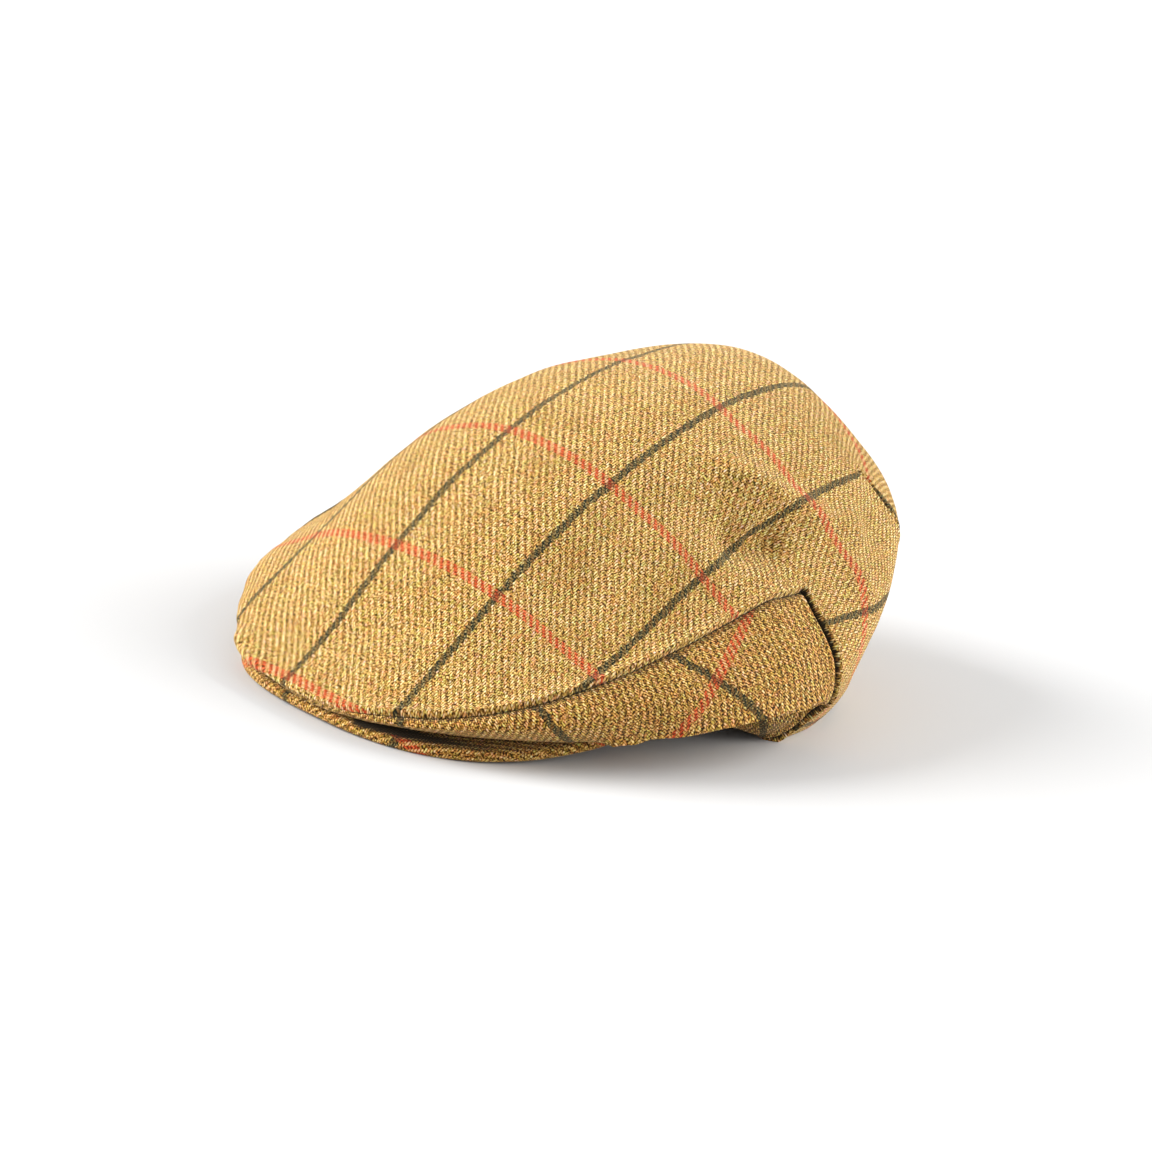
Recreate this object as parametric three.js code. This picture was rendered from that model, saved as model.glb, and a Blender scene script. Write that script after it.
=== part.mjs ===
// A tweed flat cap: a one-piece crown with two darts at the back, two side panels
// and a covered peak. Millimetres, +Z up. The peak points along -Y and the wearer's
// left is +X. The cap rests on z = 0 on its peak and on the sides and back of its rim.
import * as THREE from 'three';

// ---- Driving sizes ----
const CLOTH = 2.0; // tweed and the stiffening bonded to it
const SEAM_GAP = 0.3; // between two pieces that are sewn together
const PEAK_THICKNESS = 4.0;
const PEAK_CLEARANCE = 0.6; // between the peak's root and the cloth that it is sewn to
const FORWARD = 14.7; // the rings are measured from the wearer's head, this far behind the cap's middle

// The skin is a smooth surface through closed rings, from the top of the turned-in hem,
// under the rim, out over the sides and up to the top of the crown. front, back and wide
// are the y of the ring's foremost and rearmost points and of its widest place, half is
// half its width there, power is how square its plan is (2 is an ellipse), and rise is how
// its height goes from its side to its front (1 is evenly, and less is sooner).
const RINGS = {
  hemTop: { front: -94, back: 97, wide: 8, half: 85, zFront: 28, zSide: 16, zBack: 16, power: 2.1, rise: 0.5 },
  hemTurn: { front: -94, back: 98, wide: 8, half: 86, zFront: 17, zSide: 1.8, zBack: 1.8, power: 2.1, rise: 0.5 },
  rim: { front: -98, back: 101, wide: 8, half: 90, zFront: 13.5, zSide: -4, zBack: -4, power: 2.1, rise: 0.5 },
  tuck: { front: -121, back: 104, wide: 10, half: 98, zFront: 12.5, zSide: 9.5, zBack: 10, power: 2.1, rise: 0.6 },
  under: { front: -147, back: 104, wide: 7, half: 105, zFront: 7, zSide: 18, zBack: 20, power: 1.9, rise: 0.9 },
  fold: { front: -153, back: 104, wide: 0, half: 111, zFront: 4.6, zSide: 20, zBack: 32, power: 1.8, rise: 1.1 },
  bulge: { front: -155, back: 116, wide: -8, half: 113, zFront: 7, zSide: 40, zBack: 52, power: 2.0, rise: 1.1 },
  seam: { front: -156, back: 130, wide: -11, half: 89, zFront: 9, zSide: 60, zBack: 75, power: 2.8, rise: 1.1 },
  shoulder: { front: -136, back: 118, wide: -7, half: 77, zFront: 25, zSide: 76, zBack: 92, power: 2.5, rise: 1.1 },
  slope: { front: -100, back: 92, wide: 4, half: 66, zFront: 70, zSide: 97, zBack: 113, power: 2.3, rise: 1.1 },
  top: { front: -43, back: 67, wide: 12, half: 32, zFront: 107, zSide: 118, zBack: 129, power: 2.0, rise: 1.1 },
  apex: { front: 11, back: 11, wide: 11, half: 0, zFront: 122, zSide: 122, zBack: 122, power: 2.0, rise: 1.1 },
};
const RISE_BACK = 1.5; // how every ring's height goes from its side to its back

// The upright rear seam of a side panel, in degrees round the cap from the front
const REAR_SEAM = { atTop: 102, atRim: 88, bow: 2 };
// The dart in the crown behind each rear seam
const DART = { tipAngle: 141.7, tipLevel: 8.35, rimAngle: 154, depth: 1.5, width: 3 };

// Folds and dents in the cloth, each along a line between two places on the skin. A place
// is degrees round the cap, left positive, and a level: hemTop is 0, hemTurn 1 and so on.
const FOLDS = [
  { name: 'left dent', from: [100, 8.62], to: [109, 8.5], width: 7, height: -3.0 },
  { name: 'left ridge', from: [111, 8.42], to: [123, 7.3], width: 7, height: 2.4 },
  { name: 'left hollow', from: [95, 8.3], to: [112, 7.75], width: 9, height: -2.6 },
  { name: 'left rear crease', from: [124, 8.1], to: [136, 7.3], width: 8, height: -1.6 },
  { name: 'right dent', from: [-103, 8.5], to: [-113, 8.3], width: 8, height: -2.4 },
  { name: 'right ridge', from: [-114, 8.2], to: [-128, 7.2], width: 8, height: 1.8 },
  { name: 'right hollow', from: [-92, 8.2], to: [-104, 7.85], width: 12, height: -2.0 },
];

const PEAK = { front: -153, wide: -50, half: 79, power: 2.5, zFront: 4.4, rise: 0.14, arch: 7.0 };
const PEAK_TIP_ANGLE = 51; // where the peak's root ends, round the rim from the front
const PEAK_ROOT_LEVEL = 2.2; // where on the skin the peak's root follows the rim
const PEAK_EDGE_ROUND = 1.2;
const PEAK_SECTIONS = 40;

// ---- How finely the skin is divided ----
const SIDE_COLUMNS = 20; // from the front to a rear seam
const FLANK_COLUMNS = 9; // from the rear seam to the dart
const BACK_COLUMNS = 8; // from the dart to the centre back
const HALF_COLUMNS = SIDE_COLUMNS + FLANK_COLUMNS + BACK_COLUMNS;
const LOWER_LEVELS = [0, 1, 1.4, 2, 2.5, 3, 3.5, 4, 4.4, 4.8, 5.2, 5.6, 6, 6.5, 7];
const UPPER_LEVELS = [7.25, 7.5, 7.75, 8, 8.3, 8.6, 8.9, 9.2, 9.5, 9.8, 10.1, 10.4, 10.7];
const LEVELS = [...LOWER_LEVELS, ...UPPER_LEVELS];
const SEAM_ROW = LOWER_LEVELS.length - 1;

// ---- Materials ----
const TWEED = { color: 0xb5924f, roughness: 0.95, metalness: 0 };
const TWEED_SIDE = { color: 0xab8846, roughness: 0.95, metalness: 0 };
const TWEED_PEAK = { color: 0xa5813c, roughness: 0.95, metalness: 0 };

const NAMES = Object.keys(RINGS);
const RIM_LEVEL = NAMES.indexOf('rim');
const SEAM_LEVEL = NAMES.indexOf('seam');
const APEX_LEVEL = NAMES.indexOf('apex');
const radians = THREE.MathUtils.degToRad;

// ---- The skin ----

// Rings with one more at each end, so that the surface starts on the first ring and runs
// level over the apex.
function controlRings() {
  const rows = NAMES.map((name) => RINGS[name]);
  const before = {};
  for (const column of Object.keys(rows[0])) {
    before[column] = 2 * rows[0][column] - rows[1][column];
  }
  const top = RINGS.top;
  const beyond = {
    ...top, front: top.back, back: top.front, half: -top.half, zFront: top.zBack, zBack: top.zFront,
  };
  return [before, ...rows, beyond];
}
const CONTROL = controlRings();

// The ring at a level, from a cubic B-spline through the rows of the table
function ringAt(level) {
  const i = Math.min(Math.floor(level), APEX_LEVEL - 1);
  const f = level - i;
  const weights = [
    (1 - f) ** 3 / 6,
    (3 * f ** 3 - 6 * f ** 2 + 4) / 6,
    (-3 * f ** 3 + 3 * f ** 2 + 3 * f + 1) / 6,
    f ** 3 / 6,
  ];
  const ring = {};
  for (const column of Object.keys(CONTROL[0])) {
    ring[column] = weights.reduce((sum, weight, k) => sum + weight * CONTROL[i + k][column], 0);
  }
  return ring;
}

// A point of the smooth skin: angle in radians round the cap, 0 at the front
function smoothSkin(angle, level) {
  const ring = ringAt(level);
  const c = Math.cos(angle);
  const s = Math.sin(angle);
  const reach = Math.max(c > 0 ? ring.wide - ring.front : ring.back - ring.wide, 0.02);
  const half = Math.max(ring.half, 0.02);
  const n = ring.power;
  const radius = ((Math.abs(c) / reach) ** n + (Math.abs(s) / half) ** n) ** (-1 / n);
  const along = Math.min(radius * Math.abs(c) / reach, 1);
  const end = c > 0 ? ring.zFront : ring.zBack;
  const rise = along ** (c > 0 ? ring.rise : RISE_BACK);
  return new THREE.Vector3(radius * s, ring.wide - radius * c, ring.zSide + (end - ring.zSide) * rise);
}

// Unit vectors at a place of the skin: round it, and out of it
function skinFrame(angle, level) {
  const above = THREE.MathUtils.clamp(level + 0.02, 0.04, APEX_LEVEL - 0.02);
  const round = smoothSkin(angle + 0.01, level).sub(smoothSkin(angle - 0.01, level)).normalize();
  const rising = smoothSkin(angle, above).sub(smoothSkin(angle, above - 0.04));
  const out = new THREE.Vector3().crossVectors(round, rising).normalize();
  return { round, out };
}

// Angle of the rear seam and of the dart at a level, in radians
function rearSeamAngle(level) {
  const down = THREE.MathUtils.clamp((SEAM_LEVEL - level) / (SEAM_LEVEL - RIM_LEVEL), 0, 1);
  const straight = REAR_SEAM.atTop + (REAR_SEAM.atRim - REAR_SEAM.atTop) * down;
  return radians(straight + REAR_SEAM.bow * 4 * down * (1 - down));
}
function dartAngle(level) {
  const down = THREE.MathUtils.clamp((DART.tipLevel - level) / (DART.tipLevel - RIM_LEVEL), 0, 1);
  return radians(DART.tipAngle + (DART.rimAngle - DART.tipAngle) * Math.sqrt(down));
}

const foldLines = FOLDS.map((fold) => ({
  ...fold,
  line: new THREE.Line3(
    smoothSkin(radians(fold.from[0]), fold.from[1]),
    smoothSkin(radians(fold.to[0]), fold.to[1]),
  ),
}));

// How far the cloth stands out of the smooth skin at a place
function foldHeight(point, angle, level) {
  const near = new THREE.Vector3();
  let height = 0;
  for (const fold of foldLines) {
    fold.line.closestPointToPoint(point, true, near);
    height += fold.height * Math.exp(-((near.distanceTo(point) / fold.width) ** 2));
  }
  const away = Math.abs(Math.abs(angle) - dartAngle(level)) * Math.hypot(point.x, point.y);
  const opening = THREE.MathUtils.clamp((DART.tipLevel - level) / 0.5, 0, 1);
  const closing = THREE.MathUtils.clamp((level - RIM_LEVEL) / 1.5, 0, 1);
  return height - DART.depth * opening * closing * Math.exp(-((away / DART.width) ** 2));
}

// ---- The grid that the panels are cut from ----

// Angle of a column: 0 is the front, HALF_COLUMNS the back, and the rest come back round
// the right side. Columns follow the rear seam and the dart.
function columnAngle(column, level) {
  if (column > HALF_COLUMNS) {
    return -columnAngle(2 * HALF_COLUMNS - column, level);
  }
  const seam = rearSeamAngle(level);
  const dart = dartAngle(level);
  if (column <= SIDE_COLUMNS) {
    return seam * column / SIDE_COLUMNS;
  }
  if (column <= SIDE_COLUMNS + FLANK_COLUMNS) {
    const t = (column - SIDE_COLUMNS) / FLANK_COLUMNS;
    return seam + (dart - seam) * (1 - (1 - t) ** 1.3);
  }
  const t = (column - SIDE_COLUMNS - FLANK_COLUMNS) / BACK_COLUMNS;
  return dart + (Math.PI - dart) * t ** 1.3;
}

// Outer and inner corner of the cloth in a column and at a level. trimRound moves it off
// the column's line and trimUp off the level's line, both in millimetres along the skin,
// to leave the gap of a seam. Cloth that would sink below z = 0 lies flat.
function clothCorner(column, level, trimRound, trimUp) {
  const angle = columnAngle(column, level);
  const { round, out } = skinFrame(angle, level);
  const above = THREE.MathUtils.clamp(level + 0.02, 0.04, APEX_LEVEL - 0.02);
  const along = smoothSkin(columnAngle(column, above), above);
  along.sub(smoothSkin(columnAngle(column, above - 0.04), above - 0.04));
  const offColumn = along.cross(out).normalize();
  const offLevel = new THREE.Vector3().crossVectors(out, round);
  const outer = smoothSkin(angle, level);
  outer.addScaledVector(out, foldHeight(outer, angle, level));
  outer.addScaledVector(offColumn, trimRound).addScaledVector(offLevel, trimUp);
  const inner = outer.clone().addScaledVector(out, -CLOTH);
  outer.z = Math.max(outer.z, 0);
  return { outer, inner };
}

// Builds one closed shell of cloth from grid cells. trim(column, row) gives the seam
// allowance at a corner, and closeTop adds the fan round the apex.
function shellGeometry(cells, trim, closeTop = false) {
  const positions = [];
  const corners = new Map();
  const corner = (column, row) => {
    const wrapped = column % (2 * HALF_COLUMNS);
    const key = `${wrapped},${row}`;
    if (!corners.has(key)) {
      const [trimRound, trimUp] = trim(wrapped, row);
      const { outer, inner } = clothCorner(wrapped, LEVELS[row], trimRound, trimUp);
      corners.set(key, positions.length / 3);
      positions.push(...outer, ...inner);
    }
    return corners.get(key);
  };
  const outerFaces = cells.map(([column, row]) => {
    const face = [
      corner(column, row), corner(column + 1, row), corner(column + 1, row + 1), corner(column, row + 1),
    ];
    // A face is split from its first corner, so the right side starts one corner later
    return column < HALF_COLUMNS ? face : [...face.slice(1), face[0]];
  });
  if (closeTop) {
    const apex = positions.length / 3;
    const centre = smoothSkin(0, APEX_LEVEL);
    positions.push(...centre, centre.x, centre.y, centre.z - CLOTH);
    for (let column = 0; column < 2 * HALF_COLUMNS; column += 1) {
      outerFaces.push([corner(column, LEVELS.length - 1), corner(column + 1, LEVELS.length - 1), apex]);
    }
  }
  const index = [];
  const addFace = (face) => {
    for (let k = 2; k < face.length; k += 1) {
      index.push(face[0], face[k - 1], face[k]);
    }
  };
  const loose = new Map();
  for (const face of outerFaces) {
    addFace(face);
    addFace(face.map((vertex) => vertex + 1).reverse());
    face.forEach((start, k) => {
      const end = face[(k + 1) % face.length];
      if (!loose.delete(`${end},${start}`)) {
        loose.set(`${start},${end}`, [start, end]);
      }
    });
  }
  // Each wall round the edge is split along its shorter diagonal, so that the walls on the
  // two sides of a seam stay parallel
  const point = (vertex) => new THREE.Vector3().fromArray(positions, vertex * 3);
  const span = (a, b) => point(a).distanceTo(point(b));
  for (const [start, end] of loose.values()) {
    const wall = [start, start + 1, end + 1, end];
    addFace(span(start, end + 1) < span(start + 1, end) ? wall : [...wall.slice(1), start]);
  }
  return meshGeometry(positions, index);
}

function meshGeometry(positions, index) {
  const geometry = new THREE.BufferGeometry();
  geometry.setAttribute('position', new THREE.Float32BufferAttribute(positions, 3));
  geometry.setIndex(index);
  geometry.computeVertexNormals();
  return geometry;
}

const inSide = (column) => column < SIDE_COLUMNS || column > 2 * HALF_COLUMNS - SIDE_COLUMNS;

// The crown: all of the skin above the side seams, and the back down to the rim
function crownGeometry() {
  const cells = [];
  for (let column = 0; column < 2 * HALF_COLUMNS; column += 1) {
    const behindSeams = column >= SIDE_COLUMNS && column < 2 * HALF_COLUMNS - SIDE_COLUMNS;
    for (let row = behindSeams ? 0 : SEAM_ROW; row < LEVELS.length - 1; row += 1) {
      cells.push([column, row]);
    }
  }
  const trim = (column, row) => {
    const leftSeam = column === SIDE_COLUMNS && row <= SEAM_ROW;
    const rightSeam = column === 2 * HALF_COLUMNS - SIDE_COLUMNS && row <= SEAM_ROW;
    const trimRound = (leftSeam - rightSeam) * SEAM_GAP / 2;
    const onSideSeam = row === SEAM_ROW && (inSide(column) || leftSeam || rightSeam);
    return [trimRound, onSideSeam ? SEAM_GAP / 2 : 0];
  };
  return shellGeometry(cells, trim, true);
}

// A side panel: side 1 is the wearer's left, -1 the right
function sideGeometry(side) {
  const first = side > 0 ? 0 : 2 * HALF_COLUMNS - SIDE_COLUMNS;
  const last = first + SIDE_COLUMNS;
  const cells = [];
  for (let column = first; column < last; column += 1) {
    for (let row = 0; row < SEAM_ROW; row += 1) {
      cells.push([column, row]);
    }
  }
  const trim = (column, row) => {
    const atStart = column === first;
    const trimRound = atStart ? 1 : (column === last % (2 * HALF_COLUMNS) ? -1 : 0);
    return [trimRound * SEAM_GAP / 2, row === SEAM_ROW ? -SEAM_GAP / 2 : 0];
  };
  return shellGeometry(cells, trim);
}

// ---- The peak ----

// Height of the top of the peak's outer edge
function peakEdgeHeight(x, y) {
  return PEAK.zFront + PEAK.rise * (y - PEAK.front) - PEAK.arch * (x / PEAK.half) ** 2;
}

// A crescent: its root follows the rim and its outer edge is rounded. Each section runs
// out over the top, round the edge and back underneath.
function peakGeometry() {
  const positions = [];
  const index = [];
  for (let k = 0; k <= PEAK_SECTIONS; k += 1) {
    const t = 2 * k / PEAK_SECTIONS - 1;
    const root = smoothSkin(radians(PEAK_TIP_ANGLE) * t, PEAK_ROOT_LEVEL);
    root.z -= PEAK_CLEARANCE;
    const angle = Math.PI / 2 * t;
    const reach = PEAK.wide - PEAK.front;
    const c = Math.abs(Math.cos(angle));
    const s = Math.abs(Math.sin(angle));
    const radius = ((c / reach) ** PEAK.power + (s / PEAK.half) ** PEAK.power) ** (-1 / PEAK.power);
    const edge = new THREE.Vector3(radius * Math.sin(angle), PEAK.wide - radius * Math.cos(angle), 0);
    const towardTip = THREE.MathUtils.smoothstep(Math.abs(t), 0.8, 1);
    edge.z = THREE.MathUtils.lerp(peakEdgeHeight(edge.x, edge.y), root.z, towardTip);
    const width = Math.hypot(edge.x - root.x, edge.y - root.y);
    for (const [fromEdge, drop] of peakSection(width)) {
      const point = root.clone().lerp(edge, 1 - fromEdge / width);
      point.z = Math.max(point.z - drop, 0);
      positions.push(...point);
    }
  }
  const n = peakSection(1).length;
  const last = PEAK_SECTIONS * n;
  for (let a = 0; a < last; a += n) {
    for (let j = 0; j < n; j += 1) {
      const next = (j + 1) % n;
      index.push(a + j, a + next, a + n + next);
      index.push(a + j, a + n + next, a + n + j);
    }
  }
  for (let j = 1; j < n - 1; j += 1) {
    index.push(0, j + 1, j);
    index.push(last, last + j, last + j + 1);
  }
  return meshGeometry(positions, index);
}

// A section of the peak from its root, over the edge and back to the root underneath, as
// distances in from the edge and down from the top
function peakSection(width) {
  const low = PEAK_THICKNESS;
  const round = PEAK_EDGE_ROUND;
  const shoulder = round * 0.6;
  const nose = round / 4;
  return [
    [width, 0], [width * 2 / 3, 0], [width / 3, 0], [round, 0], [nose, shoulder],
    [0, low / 2],
    [nose, low - shoulder], [round, low], [width / 3, low], [width * 2 / 3, low], [width, low],
  ];
}

// ---- The cap ----
function piece(name, geometry, finish) {
  geometry.translate(0, FORWARD, 0);
  const mesh = new THREE.Mesh(geometry, new THREE.MeshStandardMaterial(finish));
  mesh.name = name;
  return mesh;
}

const cap = new THREE.Group();
cap.name = 'tweed_cap';
cap.add(
  piece('crown_panel', crownGeometry(), TWEED),
  piece('side_panel_left', sideGeometry(1), TWEED_SIDE),
  piece('side_panel_right', sideGeometry(-1), TWEED_SIDE),
  piece('peak', peakGeometry(), TWEED_PEAK),
);

export default cap;
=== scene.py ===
"""Looks of a tweed flat cap: woven check cloth, pressed seams, darts, soft folds and a covered
peak, lit on a plain pale floor."""

import math
from functools import partialmethod

import bpy
import numpy as np
from mathutils import Matrix, Vector, noise
from mathutils.kdtree import KDTree


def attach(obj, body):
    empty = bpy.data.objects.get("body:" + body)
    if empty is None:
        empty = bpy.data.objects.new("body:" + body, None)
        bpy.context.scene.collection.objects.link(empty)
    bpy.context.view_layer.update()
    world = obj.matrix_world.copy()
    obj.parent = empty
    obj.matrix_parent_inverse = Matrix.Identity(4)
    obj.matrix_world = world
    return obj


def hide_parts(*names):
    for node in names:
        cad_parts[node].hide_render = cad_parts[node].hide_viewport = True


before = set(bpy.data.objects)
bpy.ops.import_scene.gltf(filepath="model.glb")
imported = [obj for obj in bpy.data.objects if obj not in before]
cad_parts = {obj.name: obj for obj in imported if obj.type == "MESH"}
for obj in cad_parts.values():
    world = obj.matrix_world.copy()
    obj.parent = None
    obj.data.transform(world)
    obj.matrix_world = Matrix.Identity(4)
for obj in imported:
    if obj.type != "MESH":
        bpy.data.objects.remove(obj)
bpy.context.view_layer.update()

MM = 0.001  # sizes below are millimetres, and the meshes are metres

# ---- The shape, as the CAD has it ----

CLOTH = 2  # thickness of the tweed and the stiffening bonded to it
SEAM_GAP = 0.3
FORWARD = 14.7  # the rings are measured from the head's middle, this far behind the cap's

# Rings of the skin, one to a level: y of the front, back and widest place, half the width,
# heights at the front, side and back, the power of the superellipse in plan, and how sharply
# the height rises to the front
RING_COLUMNS = ("front", "back", "wide", "half", "z_front", "z_side", "z_back", "power", "rise")
RINGS = {
    "hem_top": (-94, 97, 8, 85, 28, 16, 16, 2.1, 0.5),
    "hem_turn": (-94, 98, 8, 86, 17, 1.8, 1.8, 2.1, 0.5),
    "rim": (-98, 101, 8, 90, 13.5, -4, -4, 2.1, 0.5),
    "tuck": (-121, 104, 10, 98, 12.5, 9.5, 10, 2.1, 0.6),
    "under": (-147, 104, 7, 105, 7, 18, 20, 1.9, 0.9),
    "fold": (-153, 104, 0, 111, 4.6, 20, 32, 1.8, 1.1),
    "bulge": (-155, 116, -8, 113, 7, 40, 52, 2, 1.1),
    "seam": (-156, 130, -11, 89, 9, 60, 75, 2.8, 1.1),
    "shoulder": (-136, 118, -7, 77, 25, 76, 92, 2.5, 1.1),
    "slope": (-100, 92, 4, 66, 70, 97, 113, 2.3, 1.1),
    "top": (-43, 67, 12, 32, 107, 118, 129, 2, 1.1),
    "apex": (11, 11, 11, 0, 122, 122, 122, 2, 1.1),
}
RISE_BACK = 1.5  # and to the back, for all rings
RIM_LEVEL = list(RINGS).index("rim")
SEAM_LEVEL = list(RINGS).index("seam")
APEX_LEVEL = list(RINGS).index("apex")

REAR_SEAM = {"at_top": 102, "at_rim": 88, "bow": 2}  # degrees round the cap from the front
DART = {"tip_angle": 141.7, "tip_level": 8.35, "rim_angle": 154}

# The crown is pulled down over the front, more on the wearer's right: its seam lies this
# many levels lower there, fully between the inner angles (degrees). The pull fades out this
# many levels below the seam and above it
PULL = {"levels": 1.0, "from": -88, "full": -50, "full_to": -6, "to": 18}
PULL_BELOW, PULL_ABOVE = 2.4, 2.5

# Folds and dents: each follows a line through places on the skin (degrees round the cap
# and level), and stands out of the cloth by its height, or into it, over about its width
FOLDS = {
    "left ridge": (((80, 9.2), (96, 8.8), (106, 8.46), (118, 8.15), (130, 7.7)), 3.8, 7),
    "left ridge branch": (((113, 8), (121, 7.3), (122, 6.8)), 1.3, 8),
    "left hollow": (((96, 7.9), (88, 8), (81, 8.25)), -6, 8),
    "left pit": (((92, 8.1), (98, 8.1)), -2, 5),
    "left rear crease": (((124, 8.1), (136, 7.3)), -1.8, 8),
    "long valley": (((78, 8.6), (57, 9), (43, 9.1), (37, 8.5)), -3.4, 17),
    "front dimple": (((0, 8.05), (9, 8.2)), -1.3, 9),
    "right flat": (((-52, 6.9), (-72, 6.5)), -2.4, 14),
    "right front flat": (((-34, 6.6), (-24, 6.5)), -1.8, 8),
    "right front edge": (((-19, 6.35), (-11, 6.3)), 1.6, 5),
    "right dent": (((-103, 8.5), (-113, 8.3)), -2.4, 8),
    "right ridge": (((-114, 8.2), (-128, 7.2)), 1.8, 8),
    "right hollow": (((-92, 8.2), (-104, 7.85)), -2, 12),
}
# Creases of both side panels, told in the same way. One that stands out has a sharp edge
CREASES = {
    "under fold": (((46, 4.95), (58, 5.1), (70, 5.2), (80, 5.2), (87, 5.1), (95, 5.25)), 3.4, 3),
    "under fold hollow": (((50, 4.1), (60, 4.15), (70, 4.15), (80, 4.1), (92, 3.9)), -8.5, 4.5),
    "tucked hem": (((52, 2.9), (76, 2.9)), -4, 8),
}

# Height, size and seed of the cloth's soft waves, and of the puckers along the seams
WAVES = ((0.6, 34, 1), (0.25, 13, 2))
PUCKERS = (0.4, 6, 3)
PUCKER_REACH = 6
NOISE_SHIFT = Vector((17.3, 5.1, 9.7))  # from one seed's noise to the next
SEAM_HOLDS = 3  # a crease dies away about this far from a seam
INSIDE_LIFT = 0.3  # of the lowest cloth inside above the ground

# ---- The cloth ----

END_PITCH = 0.84  # between warp yarns
PICK_PITCH = 1.01  # between weft yarns
GREEN_REPEAT = 60  # warp yarns from one green line to the next
RED_REPEAT = 64  # weft yarns from one red line to the next
GREEN_SPACING = END_PITCH * GREEN_REPEAT
RED_SPACING = PICK_PITCH * RED_REPEAT
LINE_ENDS, LINE_PICKS = 3.4, 4  # yarns in a green and in a red line
STRIPE_MIDDLE = np.array([LINE_ENDS * END_PITCH, LINE_PICKS * PICK_PITCH]) / 2

# Where the lines of the check lie: degrees round the cap, level, and the numbers of the green
# and of the red line through that place. Those of the side panels are for the wearer's left
CROWN_MARKS = (
    (-32.7, 8.03, -1, 0),
    (-25.8, 7.04, -1, None),
    (-4.4, 7, 0, -1),
    (-5, 8.72, 0, 0),
    (-10.7, 9.76, 0, 1),
    (-68, 10.65, 0, 2),
    (21, 8.51, 1, 0),
    (32.8, 9.44, 1, 1),
    (89.5, 9.93, 1, 2),
    (158.7, 9.38, 1, None),
    (41, 7, 2, None),
    (44.3, 7.19, 2, 0),
    (68, 8.01, 2, 1),
    (109.1, 8.53, 2, 2),
    (77.7, 7, None, 1),
    (122.3, 7.63, None, 2),
    (124, 7.05, None, 2),
    (121.7, 6.5, None, 2),
    (110, 5.92, None, 2),
    (157, 9.13, None, 3),
    (154.3, 8.52, None, 3),
    (105, 6.48, 3, None),
    (132.7, 6.3, 3, None),
)
SIDE_MARKS = (
    (35, 6.97, 0, None),
    (38.3, 4.83, 0, None),
    (60.7, 6.92, 1, None),
    (67.3, 6.32, 1, 0),
    (77.3, 5.1, 1, None),
    (80.7, 6.9, None, 0),
    (57.7, 5.1, None, 0),
    (20, 6.9, None, 0.86),
    (8, 6.6, None, 0.88),
    (100, 6.9, 1.9, None),
    (93, 3.6, None, -0.84),
)

MARK_FIRMNESS = 4  # of a mark's hold on the cloth, where that of an edge is about 1
TOP_MARK_LEVEL = 10.3  # from here up the corners lie so close that a mark would pinch the cloth
TOP_RING_LEVEL = 9.75  # so it holds this ring, and the cloth within it follows
SETTLE_ROUNDS, EASE_ROUNDS = 60, 60
EASE_TURNS_EVERY = 10  # rounds from one fresh turn of the triangles to the next
EASE_SHARE = 0.7  # of the way that a corner goes in each round

# ---- The skin ----


def control_rings():
    """The rings with one more at each end: the surface starts on the first ring and runs
    level over the apex."""
    rows = np.array(list(RINGS.values()), float)
    front, back, wide, half, z_front, z_side, z_back, power, rise = rows[-2]
    beyond = [back, front, wide, -half, z_back, z_side, z_front, power, rise]
    return np.vstack([2 * rows[0] - rows[1], rows, beyond])


CONTROL = control_rings()


def ring_at(level):
    """The ring at each level, from a cubic B-spline through the rows of the table."""
    level = np.asarray(level, float)
    i = np.minimum(np.floor(level).astype(int), APEX_LEVEL - 1)
    f = level - i
    weights = (
        (1 - f) ** 3 / 6,
        (3 * f**3 - 6 * f**2 + 4) / 6,
        (-3 * f**3 + 3 * f**2 + 3 * f + 1) / 6,
        f**3 / 6,
    )
    ring = sum(w[..., None] * CONTROL[i + k] for k, w in enumerate(weights))
    return dict(zip(RING_COLUMNS, np.moveaxis(ring, -1, 0)))


def smooth_skin(angle, level):
    """Points of the smooth skin in millimetres; angle is in radians, 0 at the front."""
    ring = ring_at(level)
    c, s = np.cos(angle), np.sin(angle)
    forward = c > 0
    reach = np.where(forward, ring["wide"] - ring["front"], ring["back"] - ring["wide"])
    reach, half = np.maximum(reach, 0.02), np.maximum(ring["half"], 0.02)
    n = ring["power"]
    radius = ((np.abs(c) / reach) ** n + (np.abs(s) / half) ** n) ** (-1 / n)
    along = np.minimum(radius * np.abs(c) / reach, 1)
    end = np.where(forward, ring["z_front"], ring["z_back"])
    rise = along ** np.where(forward, ring["rise"], RISE_BACK)
    z = ring["z_side"] + (end - ring["z_side"]) * rise
    return np.stack([radius * s, ring["wide"] - radius * c + FORWARD, z], -1)


def unit(vectors):
    return vectors / np.maximum(np.linalg.norm(vectors, axis=-1, keepdims=True), 1e-12)


STEP = 0.02  # of an angle, a column or a level, to find which way the skin runs


def level_above(level):
    """A level one step up, or less at the ends, where two steps down stay on the skin."""
    return np.clip(level + STEP, 2 * STEP, APEX_LEVEL - STEP)


def out_of_skin(angle, level):
    """Unit vectors out of the skin."""
    above = level_above(level)
    round_it = smooth_skin(angle + STEP / 2, level) - smooth_skin(angle - STEP / 2, level)
    rising = smooth_skin(angle, above) - smooth_skin(angle, above - 2 * STEP)
    return unit(np.cross(unit(round_it), rising))


def rear_seam_angle(level):
    down = np.clip((SEAM_LEVEL - level) / (SEAM_LEVEL - RIM_LEVEL), 0, 1)
    straight = REAR_SEAM["at_top"] + (REAR_SEAM["at_rim"] - REAR_SEAM["at_top"]) * down
    return np.radians(straight + REAR_SEAM["bow"] * 4 * down * (1 - down))


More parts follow.
